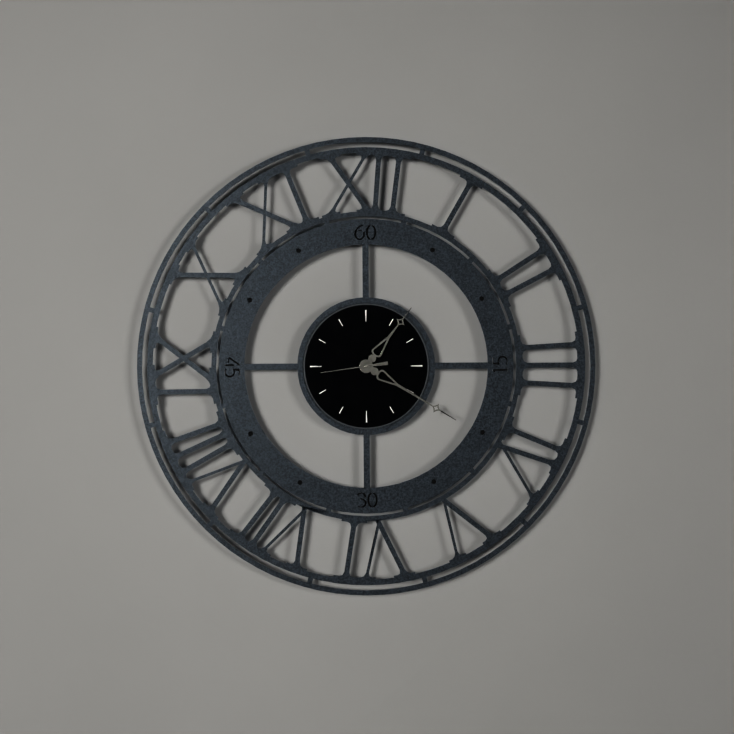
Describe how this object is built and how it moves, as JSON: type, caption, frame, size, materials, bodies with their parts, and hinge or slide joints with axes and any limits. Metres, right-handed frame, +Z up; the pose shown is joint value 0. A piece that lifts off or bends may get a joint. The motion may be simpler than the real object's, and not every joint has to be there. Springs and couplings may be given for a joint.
{
  "type": "wall clock",
  "caption": "Large round laser-cut steel wall clock with open Roman numerals, a small glossy dial disc, ornate silver hands and a battery quartz movement behind it.",
  "frame": {"origin": "on the axis of the hands, in the plane of the wall that the feet rest on", "axes": "+X to the right as seen from the room, +Y into the wall, +Z up towards the 12; the face looks along -Y"},
  "size_m": [0.6, 0.0344, 0.6],
  "materials": {
    "powder_coat": "fine-textured satin anthracite powder coat on steel",
    "gloss_black": "high-gloss black acrylic",
    "hand_metal": "dull silver with bright bevelled edges",
    "brass": "turned, satin",
    "spring_steel": "rolled sheet, satin",
    "copper": "enamelled wire, glossy",
    "magnet": "sintered, matte",
    "case_plastic": "fine spark-eroded texture, black",
    "gear_plastic": "natural acetal, satin",
    "rubber": "matte black",
    "foam_tape": "matte",
    "board": "green solder resist",
    "battery_wrap": "glossy plain sleeve on a dry cell"
  },
  "bodies": {
    "clock_body": {"face_plate": "powder_coat", "hanger_bracket": "powder_coat", "standoff_post_left": "powder_coat", "standoff_post_right": "powder_coat", "rubber_foot_left": "rubber", "rubber_foot_right": "rubber", "backing_disc": "powder_coat", "adhesive_ring": "foam_tape", "dial_disc": "gloss_black", "movement_front_case": "case_plastic", "movement_back_cover": "case_plastic", "rubber_washer": "rubber", "brass_washer": "brass", "hex_nut": "brass", "battery": "battery_wrap", "positive_contact": "spring_steel", "negative_contact": "spring_steel", "circuit_board": "board", "quartz_crystal": "spring_steel", "chip_dome": "case_plastic", "stator": "spring_steel", "coil_core": "spring_steel", "coil_bobbin": "gear_plastic", "coil_winding": "copper"},
    "second": {"second_wheel": "gear_plastic", "second_hand": "hand_metal"},
    "fifth": {"fifth_wheel": "gear_plastic"},
    "rotor": {"rotor": "magnet"},
    "third": {"third_wheel": "gear_plastic"},
    "centre": {"centre_wheel": "gear_plastic"},
    "minute": {"cannon_pinion": "brass", "minute_hand": "hand_metal"},
    "motion": {"motion_wheel": "gear_plastic"},
    "hour": {"hour_wheel": "brass", "hour_hand": "hand_metal"},
    "knob": {"setting_knob": "gear_plastic"}
  },
  "joints": [
    {"name": "second_spin", "type": "hinge", "parent": "clock_body", "child": "second", "pos_m": [0, 0, 0], "axis": [0, 1, 0], "continuous": true},
    {"name": "fifth_spin", "type": "hinge", "parent": "clock_body", "child": "fifth", "pos_m": [-0.00677, 0, 0.00246], "axis": [0, 1, 0], "continuous": true},
    {"name": "rotor_spin", "type": "hinge", "parent": "clock_body", "child": "rotor", "pos_m": [-0.01027, 0, 0.00852], "axis": [0, 1, 0], "continuous": true},
    {"name": "third_spin", "type": "hinge", "parent": "clock_body", "child": "third", "pos_m": [0.00651, 0, 0.00546], "axis": [0, 1, 0], "continuous": true},
    {"name": "centre_spin", "type": "hinge", "parent": "clock_body", "child": "centre", "pos_m": [0, 0, 0], "axis": [0, 1, 0], "continuous": true},
    {"name": "minute_spin", "type": "hinge", "parent": "clock_body", "child": "minute", "pos_m": [0, 0, 0], "axis": [0, 1, 0], "continuous": true},
    {"name": "motion_spin", "type": "hinge", "parent": "clock_body", "child": "motion", "pos_m": [0.00662, 0, -0.00241], "axis": [0, 1, 0], "continuous": true},
    {"name": "hour_spin", "type": "hinge", "parent": "clock_body", "child": "hour", "pos_m": [0, 0, 0], "axis": [0, 1, 0], "continuous": true},
    {"name": "knob_spin", "type": "hinge", "parent": "clock_body", "child": "knob", "pos_m": [0.01355, 0, -0.00119], "axis": [0, 1, 0], "continuous": true}
  ],
  "couplings": [
    {"joint": "fifth_spin", "follows": "second_spin", "ratio": -5},
    {"joint": "rotor_spin", "follows": "second_spin", "ratio": 30},
    {"joint": "third_spin", "follows": "second_spin", "ratio": -0.13333},
    {"joint": "centre_spin", "follows": "second_spin", "ratio": 0.016667},
    {"joint": "motion_spin", "follows": "minute_spin", "ratio": -0.33333},
    {"joint": "hour_spin", "follows": "minute_spin", "ratio": 0.083333},
    {"joint": "knob_spin", "follows": "minute_spin", "ratio": 1}
  ]
}
